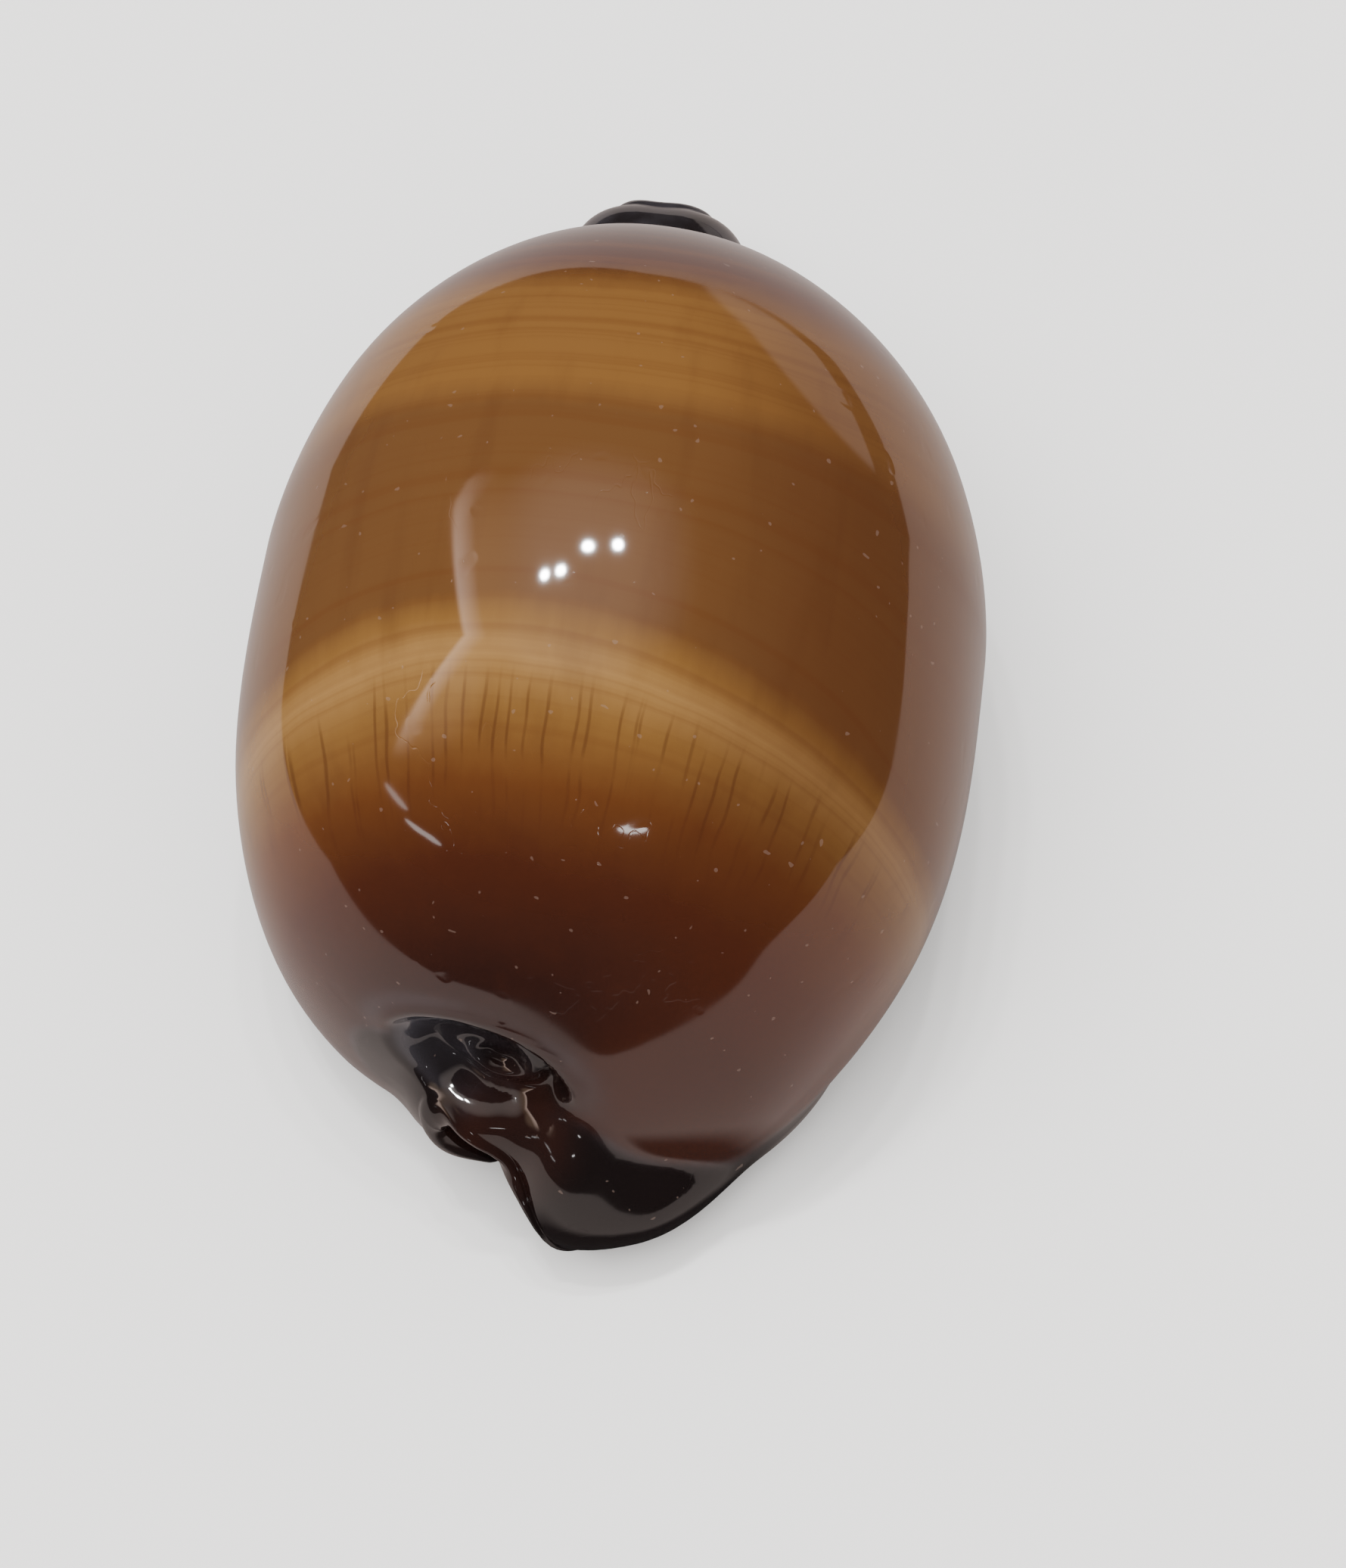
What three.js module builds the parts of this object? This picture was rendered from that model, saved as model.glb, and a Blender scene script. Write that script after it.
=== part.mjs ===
// A burnt cowrie: the empty, polished shell of a sea snail, in millimetres.
// +Y is the anterior end, +X the side of the outer (labral) lip, +Z the domed back.
// The shell rests on its flattened base, where a toothed slit opens into the hollow
// body whorl and runs out at both ends through a short channel.

import * as THREE from "three";
import { mergeVertices } from "three/addons/utils/BufferGeometryUtils.js";

// Driving dimensions.
const columellarWidth = 22.7; // from the long axis to the left margin, at the fullest place
const labralWidth = 24.6; // from the long axis to the right margin
const height = 39; // base to crest
const marginHeight = 13.5; // the fullest level of the sides, amidships
const toothPitch = 1.35;
const toothDepth = 0.5;
const wallThickness = 1.9; // the dome over the body whorl
const marginThickness = 3.5; // the callus-filled sides
const lipRadius = 2.2;

// How the outline closes towards each end, in plan and from the side.
const plan = { centre: -0.9, back: -33.5, front: 28.7, backPower: 3.3, frontPower: 1.75 };
const profile = { centre: -4.5, back: -33.2, front: 29.5, backPower: 2.2, frontPower: 1.75 };

// Swellings that are part of the wall: centre, half sizes and turn about the vertical.
const marginCallus = { centre: [9.2, -29.7, 4.1], radii: [11, 5, 2.6], turn: 40, power: 2 };
const labralLobe = { centre: [5.2, -31.7, 4.6], radii: [5, 5.7, 5], turn: 0, power: 2 };
const lobeTop = { centre: [2.4, -32.8, 6.4], radii: [3.9, 5.4, 6.3], turn: 0, power: 2 };
const channelRoof = { centre: [-3.2, -31, 8.4], radii: [4.6, 4.8, 5], turn: 0, power: 2 };
const columellarLobe = { centre: [-5.4, -27.4, 6], radii: [3.4, 5.6, 5.8], turn: -26, power: 2 };
const anteriorBeak = { centre: [-1.2, 30.8, 5.2], radii: [6.6, 6.5, 4.6], turn: 0, power: 2.8 };

// The mouths of the channel at both ends: where its roof and its two lips stop.
const backMouth = { roofEnd: -34, leftEnd: -34.4, rightEnd: -37, roof: 8, leftRim: 1.6, rightRim: 2.6 };
const frontMouth = { roofEnd: 36, leftEnd: 35.4, rightEnd: 35.4, roof: 4.6, leftRim: 2, rightRim: 2 };

// The sunken spire over the posterior channel.
const spire = {
  centre: new THREE.Vector3(-3.9, -33, 15.4),
  facing: new THREE.Vector3(-0.25, -0.75, 0.61).normalize(),
  halfWidth: 6.4,
  halfHeight: 4.3,
  depth: 2.6,
  ridge: 0.7,
  undercut: 0.4,
};

// Mesh fineness. Rows run across the shell; columns run round it from lip to lip.
const firstTooth = -18; // in pitches from the origin, so that rows fall on peaks and valleys
const lastTooth = 20;
const rowsPerTooth = 2;
const rowStep = 4; // the smooth dome and hollow take one row in four
const columns = 44;
const lipColumns = 2;
const wallColumns = 3;
const backRows = 16;
const frontRows = 10;
const rimRows = 2;

function ease(from, to, x) {
  const t = THREE.MathUtils.clamp((x - from) / (to - from), 0, 1);
  return t * t * (3 - 2 * t);
}

// Union of two signed distances with a fillet of size k.
function join(a, b, k) {
  const h = Math.max(k - Math.abs(a - b), 0);
  return Math.min(a, b) - (h * h) / (4 * k);
}

function swelling(x, y, z, { centre, radii, turn, power }) {
  const angle = THREE.MathUtils.degToRad(turn);
  const dx = x - centre[0];
  const dy = y - centre[1];
  const u = Math.abs(Math.cos(angle) * dx + Math.sin(angle) * dy) / radii[0];
  const v = Math.abs(Math.cos(angle) * dy - Math.sin(angle) * dx) / radii[1];
  const w = Math.abs(z - centre[2]) / radii[2];
  return ((u ** power + v ** power + w ** power) ** (1 / power) - 1) * Math.min(...radii);
}

// 0 at the fullest place, 1 where the outline closes.
function closing(y, { centre, back, front, backPower, frontPower }) {
  if (y < centre) return ((y - centre) / (back - centre)) ** backPower;
  return ((y - centre) / (front - centre)) ** frontPower;
}

function fullness(y, outline) {
  return Math.sqrt(Math.max(1 - closing(y, outline), 0));
}

function marginLevel(y) {
  return marginHeight - 8 * ease(10, 34.6, y) - 6.5 * ease(-14, -34, y);
}

// The right shoulder swells backwards behind the dome.
const shoulder = (x, y, z) => 2.3 * ease(25, 6, z) * ease(-5, 5, x) * ease(22, 12, x) * ease(-14, -24, y);

// The egg-shaped body: a superellipse across, domed above and flatter below.
function body(x, yHere, z) {
  const y = yHere + shoulder(x, yHere, z);
  const level = marginLevel(y);
  const above = z > level;
  const lift = 1.3 * ease(18, 34.6, y) + ease(-18, -34, y) - 0.4;
  const down = (level - lift) / Math.max(fullness(y, profile), 0.5);
  const across = Math.abs(x) / (x < 0 ? columellarWidth : labralWidth);
  const up = Math.abs(z - level) / (above ? height - level : down);
  const power = above ? 2.12 : 2.5;
  const size = (across ** power + up ** power) ** (1 / power);
  const share = (across ** 2 + 1e-4) / (across ** 2 + up ** 2 + 2e-4);
  const end = share * closing(y, plan) + (1 - share) * closing(y, profile);
  return (Math.sqrt(size * size + end) - 1) * columellarWidth;
}

// Signed distance to the outside of the shell, negative inside.
function skin(x, y, z) {
  let callus = join(swelling(x, y, z, marginCallus), swelling(x, y, z, labralLobe), 4);
  callus = join(callus, swelling(x, y, z, lobeTop), 2.5);
  callus = join(callus, swelling(x, y, z, channelRoof), 2);
  callus = join(callus, swelling(x, y, z, columellarLobe), 2.5);
  return join(join(body(x, y, z), callus, 0.8), swelling(x, y, z, anteriorBeak), 5);
}

// How far a row lies into the posterior and the anterior end, 0 to 1.
const backness = (y) => ease(-16, -33, y);
const frontness = (y) => ease(18, 34, y);
const slitX = (y) => 3 - 4.2 * ease(4, 36, y) - 4.4 * ease(-6, -33, y);
const slitWidth = (y) => 3 + 0.8 * ease(8, 30, y) - 0.3 * backness(y);

// The posterior channel leans towards the columellar side as it rises.
const channelLean = (y, z) => -0.7 * ease(-22, -34, y) * (Math.max(z, 3) - 4.5);

function middle(y) {
  const front = frontness(y);
  const back = backness(y);
  return new THREE.Vector3(-front - 0.8 * back, y, marginHeight - 6.5 * front - 4.5 * back);
}

// The point where a ray from inside the wall comes out of the shell.
function surfacePoint(origin, direction) {
  const ray = new THREE.Ray(origin, direction.clone().normalize());
  const point = new THREE.Vector3();
  let near = 0;
  let far = 48;
  for (let i = 0; i < 30; i++) {
    const at = (near + far) / 2;
    ray.at(at, point);
    if (skin(point.x, point.y, point.z) < 0) near = at;
    else far = at;
  }
  return point;
}

// Directions from the middle of a row, round from the left lip over the dome to the right.
function directionsAcross(y) {
  const from = middle(y);
  const lip = lipRadius - 0.8 * Math.max(backness(y), frontness(y));
  const reach = slitWidth(y) / 2 + lip;
  const start = Math.atan2(-from.z, slitX(y) - reach - from.x);
  const end = Math.atan2(-from.z, slitX(y) + reach - from.x) - 2 * Math.PI;
  return Array.from({ length: columns + 1 }, (_, i) => {
    const angle = start + ((end - start) * i) / columns;
    return new THREE.Vector3(Math.cos(angle), 0, Math.sin(angle));
  });
}

// Points just outside the rim of a channel mouth, one for each column.
function mouthPoints(mouth) {
  const straight = (lipColumns + wallColumns) / columns;
  return Array.from({ length: columns + 1 }, (_, i) => {
    const s = i / columns;
    const t = THREE.MathUtils.clamp((s - straight) / (1 - 2 * straight), 0, 1);
    const rise = THREE.MathUtils.clamp(Math.min(s, 1 - s) / straight, 0, 1);
    const half = slitWidth(mouth.roofEnd) / 2;
    const rim = THREE.MathUtils.lerp(mouth.leftRim, mouth.rightRim, t);
    const z = rise * mouth.roof + (half + rim) * Math.sin(Math.PI * t);
    const low = Math.max(1 - z / (mouth.roof + half), 0) ** 1.3;
    const y = THREE.MathUtils.lerp(mouth.roofEnd, s < 0.5 ? mouth.leftEnd : mouth.rightEnd, low);
    const x = slitX(y) - Math.cos(Math.PI * t) * (half + rim) + channelLean(y, z);
    return { point: new THREE.Vector3(x, y, z), rise };
  });
}

// Rows that swing round from across the shell to all about a channel's mouth.
function endRows(y, mouth, count) {
  const origin = middle(y);
  const across = directionsAcross(y);
  const targets = mouthPoints(mouth);
  const rows = [];
  for (let r = 1; r <= count; r++) {
    const t = 1 - (1 - r / count) ** 1.5; // closer together towards the mouth
    rows.push(
      across.map((first, i) => {
        const last = targets[i].point.clone().sub(origin).normalize();
        const angle = first.angleTo(last);
        const direction = first
          .clone()
          .multiplyScalar(Math.sin((1 - t) * angle))
          .addScaledVector(last, Math.sin(t * angle));
        return surfacePoint(origin, direction);
      }),
    );
  }
  const stops = targets.map(({ point, rise }, i) =>
    THREE.MathUtils.lerp(point.y, rows[count - 1][i].y, (1 - rise) ** 2),
  );
  return { rows, stops };
}

// The whorls of the sunken spire wind into a hollow whose upper edge is undercut.
function sinkSpire(point) {
  const { centre, facing, halfWidth, halfHeight, depth, ridge, undercut } = spire;
  const sideways = new THREE.Vector3(0, 0, 1).cross(facing).normalize();
  const upwards = facing.clone().cross(sideways);
  const offset = point.clone().sub(centre);
  const a = offset.dot(sideways) / halfWidth;
  const b = offset.dot(upwards) / halfHeight;
  const r = Math.hypot(a, b);
  const turn = Math.atan2(b, a) / (2 * Math.PI);
  const low = ease(0.2, -0.7, b);
  const wall = 1 - ease(0.5 - 0.2 * low, 1.05, r);
  const whorl = (0.5 + 0.5 * Math.cos(2 * Math.PI * (1.3 * r - turn - 0.59))) ** 2;
  const near = ease(-7, -4, offset.dot(facing));
  const coil = ridge * whorl * wall * ease(0.03, 0.25, r) * (1 - ease(0.7, 0.95, r));
  const sunk = depth * (1 - 0.25 * r) * wall - coil;
  const hang = undercut * Math.exp(-(((r - 0.95) / 0.14) ** 2)) * ease(-0.2, 0.5, b);
  return point
    .clone()
    .addScaledVector(facing, -sunk * near)
    .addScaledVector(upwards, -hang * near);
}

// The inside of one row: round each lip, up the toothed walls and about the hollow,
// which closes to a plain channel at both ends.
function insideRow(outside, yAt) {
  const inside = [];
  const straight = lipColumns + wallColumns;
  const first = outside[0];
  const last = outside[columns];
  for (let i = 0; i <= columns; i++) {
    const y = yAt(i);
    const back = backness(y);
    const front = frontness(y);
    const closed = Math.max(back, front);
    const half = slitWidth(y) / 2;
    const wallTop = 6.4 - 1.8 * front + 1.6 * back;
    const fromLip = Math.min(i, columns - i);
    if (fromLip <= straight) {
      const edge = i <= straight ? first : last;
      const lip = lipRadius - 0.8 * closed;
      const width = Math.abs(edge.x - slitX(y) - channelLean(y, edge.z)) - half;
      const bend = (Math.min(fromLip / lipColumns, 1) * Math.PI) / 2;
      const rise = Math.max((fromLip - lipColumns) / wallColumns, 0);
      const tooth = toothDepth * (1 - closed) * Math.cos((2 * Math.PI * y) / toothPitch);
      const out = half + width * (1 - Math.sin(bend)) - tooth * (Math.sin(bend) - 0.75 * ease(0.3, 1, rise));
      const z = edge.z + lip * (1 - Math.cos(bend)) + (wallTop - edge.z - lip) * rise;
      const side = i <= straight ? -1 : 1;
      inside.push(new THREE.Vector3(slitX(y) + channelLean(y, z) + side * out, y, z));
      continue;
    }
    const open = (1 - ease(-18, -31, y)) * (1 - ease(17, 29, y));
    const crest = marginLevel(y) + (height - marginLevel(y)) * fullness(y, profile);
    const spread = (width, toMiddle) =>
      half + Math.max(width * fullness(y, plan) - marginThickness + toMiddle - half, 0) * open;
    const roof = wallTop + half + Math.max(crest - wallThickness - wallTop - half, 0) * open;
    const level = wallTop + (roof - wallTop) * 0.45 * open;
    const down = level - wallTop + 1e-6;
    const start = Math.atan2(-down, -half);
    const end = Math.atan2(-down, half) - 2 * Math.PI;
    const angle = start + ((end - start) * (i - straight)) / (columns - 2 * straight);
    const width = Math.cos(angle) < 0 ? spread(columellarWidth, slitX(y)) : spread(labralWidth, -slitX(y));
    const rise = Math.sin(angle) > 0 ? roof - level : down;
    const radius = 1 / Math.hypot(Math.cos(angle) / width, Math.sin(angle) / rise);
    const z = Math.max(level + radius * Math.sin(angle), wallTop);
    inside.push(new THREE.Vector3(slitX(y) + channelLean(y, z) + radius * Math.cos(angle), y, z));
  }
  inside[0] = first;
  inside[columns] = last;
  return inside;
}

// Rounds a mouth's rim: the outside and the inside meet along one line.
function rimRowsOf(outside, inside, way) {
  const rows = [];
  for (let j = 1; j <= rimRows; j++) {
    const angle = ((j / rimRows) * Math.PI) / 2;
    const pair = { outside: [], inside: [] };
    outside.forEach((o, i) => {
      const centre = o.clone().lerp(inside[i], 0.5);
      const bulge = way * 0.9 * Math.min(o.distanceTo(inside[i]) / 2, 1.1) * Math.sin(angle);
      for (const [name, p] of [["outside", o], ["inside", inside[i]]]) {
        const point = j === rimRows ? centre.clone() : centre.clone().lerp(p, Math.cos(angle));
        point.y += bulge;
        pair[name].push(point);
      }
    });
    rows.push(pair);
  }
  return rows;
}

function shellRows() {
  const across = [];
  for (let k = firstTooth * rowsPerTooth; k <= lastTooth * rowsPerTooth; k++) {
    const y = (k * toothPitch) / rowsPerTooth;
    across.push(directionsAcross(y).map((direction) => surfacePoint(middle(y), direction)));
  }
  const back = endRows(firstTooth * toothPitch, backMouth, backRows);
  const front = endRows(lastTooth * toothPitch, frontMouth, frontRows);
  const outside = [...back.rows.reverse(), ...across, ...front.rows];

  const rows = outside.map((row, r) => {
    const intoBack = Math.max(backRows - r, 0) / backRows;
    const intoFront = Math.max(r - (outside.length - 1 - frontRows), 0) / frontRows;
    const [stops, lastRow, turn] =
      intoBack > 0 ? [back.stops, outside[0], intoBack] : [front.stops, outside.at(-1), intoFront];
    const plain = (ends, i) => THREE.MathUtils.lerp(ends[0].y, ends[columns].y, i / columns);
    const yAt = (i) => plain(row, i) + turn ** 2 * (stops[i] - plain(lastRow, i));
    const sunk = row.map(sinkSpire);
    return { outside: sunk, inside: insideRow(sunk, yAt) };
  });
  return [
    ...rimRowsOf(rows[0].outside, rows[0].inside, -1).reverse(),
    ...rows,
    ...rimRowsOf(rows.at(-1).outside, rows.at(-1).inside, 1),
  ];
}

function shellGeometry() {
  const rows = shellRows();
  const triangles = [];
  const fineFrom = rimRows + backRows;
  const fineTo = fineFrom + (lastTooth - firstTooth) * rowsPerTooth;
  const isFine = (name, i) => {
    const fromLip = Math.min(i, columns - i);
    return name === "inside" ? fromLip <= lipColumns + wallColumns : fromLip === 0;
  };

  // One strip between columns i and i + 1, from row r to row q.
  function strip(name, i, r, q) {
    const left = isFine(name, i) ? 1 : q - r;
    const right = isFine(name, i + 1) ? 1 : q - r;
    let a = r;
    let b = r;
    while (a < q || b < q) {
      const advanceLeft = b >= q || (a < q && (a + left / 2 - r) / (q - r) <= (b + right / 2 - r) / (q - r));
      const apex = advanceLeft ? [a + left, i] : [b + right, i + 1];
      triangles.push([name, [a, i], apex, [b, i + 1]]);
      if (advanceLeft) a += left;
      else b += right;
    }
  }

  for (const name of ["outside", "inside"]) {
    for (let i = 0; i < columns; i++) {
      for (let r = 0; r < rows.length - 1; ) {
        const q = r >= fineFrom && r < fineTo ? r + rowStep : r + 1;
        strip(name, i, r, q);
        r = q;
      }
    }
  }

  const positions = [];
  for (const [name, ...corners] of triangles) {
    const ordered = name === "inside" ? corners : corners.reverse();
    for (const [r, i] of ordered) {
      const { x, y, z } = rows[r][name][i];
      positions.push(x, y, Math.max(z, 0));
    }
  }
  const loose = new THREE.BufferGeometry();
  loose.setAttribute("position", new THREE.Float32BufferAttribute(positions, 3));
  const geometry = mergeVertices(loose, 1e-4);

  // Triangles that shrink to a line where a lip's tip comes to a point are dropped.
  const index = Array.from(geometry.index.array);
  const kept = [];
  for (let t = 0; t < index.length; t += 3) {
    const [a, b, c] = index.slice(t, t + 3);
    if (a !== b && b !== c && c !== a) kept.push(a, b, c);
  }
  geometry.setIndex(kept);

  // The origin is the middle of the box, on the surface that the shell rests on.
  geometry.computeBoundingBox();
  const box = geometry.boundingBox;
  geometry.translate(-(box.min.x + box.max.x) / 2, -(box.min.y + box.max.y) / 2, -box.min.z);
  geometry.computeVertexNormals();
  return geometry;
}

const shell = new THREE.Mesh(
  shellGeometry(),
  new THREE.MeshStandardMaterial({ color: 0x6b3a1c, roughness: 0.12, metalness: 0 }),
);
shell.name = "shell";

const group = new THREE.Group();
group.add(shell);
export default group;
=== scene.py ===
import math

import bmesh
import bpy
import numpy as np
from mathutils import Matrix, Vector


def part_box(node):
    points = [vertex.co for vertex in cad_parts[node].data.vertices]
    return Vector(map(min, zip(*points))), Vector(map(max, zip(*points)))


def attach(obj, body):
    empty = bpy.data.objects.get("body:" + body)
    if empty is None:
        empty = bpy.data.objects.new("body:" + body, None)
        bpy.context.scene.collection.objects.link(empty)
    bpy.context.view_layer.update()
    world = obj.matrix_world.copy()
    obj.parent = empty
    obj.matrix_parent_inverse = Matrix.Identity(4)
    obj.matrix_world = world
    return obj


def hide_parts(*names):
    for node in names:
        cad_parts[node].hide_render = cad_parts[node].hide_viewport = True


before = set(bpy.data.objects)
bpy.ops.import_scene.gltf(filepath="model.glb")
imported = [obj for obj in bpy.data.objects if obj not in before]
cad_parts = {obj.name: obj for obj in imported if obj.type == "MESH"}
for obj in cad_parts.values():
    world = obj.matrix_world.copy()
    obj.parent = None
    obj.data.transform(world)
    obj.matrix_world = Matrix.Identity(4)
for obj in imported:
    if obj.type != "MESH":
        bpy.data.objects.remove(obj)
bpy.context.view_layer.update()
cad_low, cad_high = (Vector(corner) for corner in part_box("shell"))
cad_middle = (cad_low + cad_high) / 2

# Shell
# One piece of aragonite, which the snail coiled, then rolled its lip inwards and glazed all over.
# Lengths here are millimetres from the long axis; +Y is anterior, +X the side of the outer lip.
MM = 0.001

# The body whorl: its reach to both sides, the dome's height and that of the fullest level,
# then how its outline closes at both ends, seen from above and from the side.
LEFT, RIGHT, TOP, MARGIN = 22.7, 24.6, 39.0, 13.5
plan = dict(centre=-0.9, back=-33.5, front=28.7, back_power=3.3, front_power=1.75)
profile = dict(centre=-4.5, back=-33.2, front=29.5, back_power=2.2, front_power=1.75)

# The swellings: middle, half sizes, turn in degrees and how square they are.
marginal_callus = ((9.2, -29.7, 4.1), (11.0, 5.0, 2.6), 40)
labral_lobe = ((5.2, -31.7, 4.6), (5.0, 5.7, 5.0))
lobe_top = ((2.4, -32.8, 6.4), (3.9, 5.4, 6.3))
channel_roof = ((-3.2, -31, 8.4), (4.6, 4.8, 5))
columellar_lobe = ((-5.4, -27.4, 6), (3.4, 5.6, 5.8), -26)
anterior_beak = ((-1.2, 30.8, 5.2), (6.6, 6.5, 4.6), 0, 2.8)

# The slit with its teeth, the wall's thickness and the mouths of the two channels.
TOOTH_PITCH, TOOTH_DEPTH = 1.35, 0.5
SLIT_WALL_TOP = 6.4
DOME_WALL, SIDE_WALL = 1.9, 3.5
back_mouth = dict(roof_end=-34.0, left=-34.4, right=-37.0, roof=8.0, rims=(1.6, 2.6))
front_mouth = dict(roof_end=36.0, left=35.4, right=35.4, roof=4.6, rims=(2.0, 2.0))

# The sunken spire: its middle, where it faces, its half sizes, and how the hollow is carved.
spire_middle = np.array((-3.9, -33.0, 15.4))
spire_faces = np.array((-0.25, -0.75, 0.61))
SPIRE_ACROSS, SPIRE_UP = 6.4, 4.3
SPIRE_DEPTH, WHORL_HEIGHT, RIM_HANG = 2.6, 0.9, 0.4

# The mesh: rows across the shell and points along a row, of which some are on the lip and the wall.
FIRST_ROW, LAST_ROW = -18 * TOOTH_PITCH, 20 * TOOTH_PITCH
ROWS_ACROSS, ROWS_BACK, ROWS_FRONT, ROWS_RIM = 229, 60, 40, 10
COLUMNS, LIP, WALL = 150, 10, 10
RAY_LENGTH, RAY_HALVINGS = 48, 26


def ease(start, end, x):
    """0 at the start, 1 at the end, with soft ends."""
    t = np.clip((x - start) / (end - start), 0, 1)
    return t * t * (3 - 2 * t)


def join(a, b, fillet):
    """Union of two distances with a rounded inner corner."""
    near = np.maximum(fillet - np.abs(a - b), 0)
    return np.minimum(a, b) - near * near / (4 * fillet)


def swelling(p, centre, radii, turn=0.0, power=2.0):
    """Distance to a rounded lump, turned about the vertical."""
    c, s = math.cos(math.radians(turn)), math.sin(math.radians(turn))
    d = p - np.array(centre)
    u = np.abs(c * d[..., 0] + s * d[..., 1]) / radii[0]
    v = np.abs(c * d[..., 1] - s * d[..., 0]) / radii[1]
    w = np.abs(d[..., 2]) / radii[2]
    return ((u ** power + v ** power + w ** power) ** (1 / power) - 1) * min(radii)


def closing(y, outline):
    """0 at the fullest place, 1 where the outline closes."""
    behind = y < outline["centre"]
    end = np.where(behind, outline["back"], outline["front"])
    power = np.where(behind, outline["back_power"], outline["front_power"])
    return ((y - outline["centre"]) / (end - outline["centre"])) ** power


def fullness(y, outline):
    """How wide or high the outline is there, as a share of its fullest place."""
    return np.sqrt(np.maximum(1 - closing(y, outline), 0))


def margin_level(y):
    """Height of the fullest level, which drops towards both ends."""
    return MARGIN - 8 * ease(10, 34.6, y) - 6.5 * ease(-14, -34, y)


def body(p):
    """Distance to the body whorl: domed above, flatter below, swelling behind its right shoulder."""
    x, y, z = p[..., 0], p[..., 1], p[..., 2]
    y = y + 2.3 * ease(25, 6, z) * ease(-5, 5, x) * ease(22, 12, x) * ease(-14, -24, y)
    level = margin_level(y)
    lift = 1.3 * ease(18, 34.6, y) + ease(-18, -34, y) - 0.4
    down = (level - lift) / np.maximum(fullness(y, profile), 0.5)
    across = np.abs(x) / np.where(x < 0, LEFT, RIGHT)
    up = np.abs(z - level) / np.where(z > level, TOP - level, down)
    power = np.where(z > level, 2.12, 2.5)
    size = (across ** power + up ** power) ** (1 / power)
    share = (across ** 2 + 1e-4) / (across ** 2 + up ** 2 + 2e-4)
    end = share * closing(y, plan) + (1 - share) * closing(y, profile)
    return (np.sqrt(size * size + end) - 1) * LEFT


def callus(p):
    """Distance to the dark enamel swellings about the posterior channel."""
    d = join(swelling(p, *marginal_callus), swelling(p, *labral_lobe), 4)
    for lump, fillet in ((lobe_top, 2.5), (channel_roof, 2), (columellar_lobe, 2.5)):
        d = join(d, swelling(p, *lump), fillet)
    return d


def skin(p):
    """Distance to the outside of the shell, negative inside."""
    d = join(body(p), callus(p), 0.8)
    return join(d, swelling(p, *anterior_beak), 5)


def slit_x(y):
    """The slit's middle, which bends to the left at both ends."""
    return 3 - 4.2 * ease(4, 36, y) - 4.4 * ease(-6, -33, y)


def slit_half(y):
    """Half the slit's width."""
    return 1.5 + 0.4 * ease(8, 30, y) - 0.15 * ease(-16, -33, y)


def lip_roll(y):
    """Radius that each lip rolls in by, smaller in the channels."""
    return 2.2 - 0.8 * np.maximum(ease(18, 34, y), ease(-16, -33, y))


def channel_lean(y, z):
    """How far the posterior channel leans over with height."""
    return -0.7 * ease(-22, -34, y) * (np.maximum(z, 3) - 4.5)


def row_middle(y):
    """Where a row's rays start: inside the shell, lower towards both ends."""
    front, behind = ease(18, 34, y), ease(-16, -33, y)
    return np.array((-front - 0.8 * behind, y, MARGIN - 6.5 * front - 4.5 * behind))


def row_directions(y):
    """Round a row from its left lip over the dome to its right lip."""
    middle = row_middle(y)
    reach = slit_half(y) + lip_roll(y)
    start = math.atan2(-middle[2], slit_x(y) - reach - middle[0])
    end = math.atan2(-middle[2], slit_x(y) + reach - middle[0]) - 2 * math.pi
    angle = np.linspace(start, end, COLUMNS + 1)
    return np.stack([np.cos(angle), 0 * angle, np.sin(angle)], -1)


def cast(middle, directions):
    """Where rays from inside the wall come out of the shell."""
    near = np.zeros(directions.shape[:-1])
    far = near + RAY_LENGTH
    for _ in range(RAY_HALVINGS):
        at = (near + far) / 2
        inside = skin(middle + directions * at[..., None]) < 0
        near, far = np.where(inside, at, near), np.where(inside, far, at)
    return middle + directions * near[..., None]


def end_rows(y, mouth, count):
    """Rows that swing from across the shell to all about a mouth, and where its inside stops."""
    middle = row_middle(y)
    first = row_directions(y)
    s = np.linspace(0, 1, COLUMNS + 1)
    straight = (LIP + WALL) / COLUMNS
    t = np.clip((s - straight) / (1 - 2 * straight), 0, 1)
    rise = np.clip(np.minimum(s, 1 - s) / straight, 0, 1)
    half = slit_half(mouth["roof_end"])
    out = half + mouth["rims"][0] + (mouth["rims"][1] - mouth["rims"][0]) * t
    z = rise * mouth["roof"] + out * np.sin(np.pi * t)
    low = (1 - np.clip(z / (mouth["roof"] + half), 0, 1)) ** 1.3
    lip_end = np.where(s < 0.5, mouth["left"], mouth["right"])
    stops = mouth["roof_end"] + (lip_end - mouth["roof_end"]) * low
    x = slit_x(stops) - np.cos(np.pi * t) * out + channel_lean(stops, z)
    last = np.stack([x, stops, z], -1) - middle
    last /= np.linalg.norm(last, axis=1, keepdims=True)
    angle = np.arccos(np.clip((first * last).sum(1), -1, 1))
    rows = []
    for turn in np.linspace(0, 1, count + 1)[1:]:
        a = (np.sin((1 - turn) * angle) / np.sin(angle))[:, None]
        b = (np.sin(turn * angle) / np.sin(angle))[:, None]
        rows.append(cast(middle, a * first + b * last))
    stops = stops + (rows[-1][:, 1] - stops) * (1 - rise) ** 2
    return rows, stops


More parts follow.
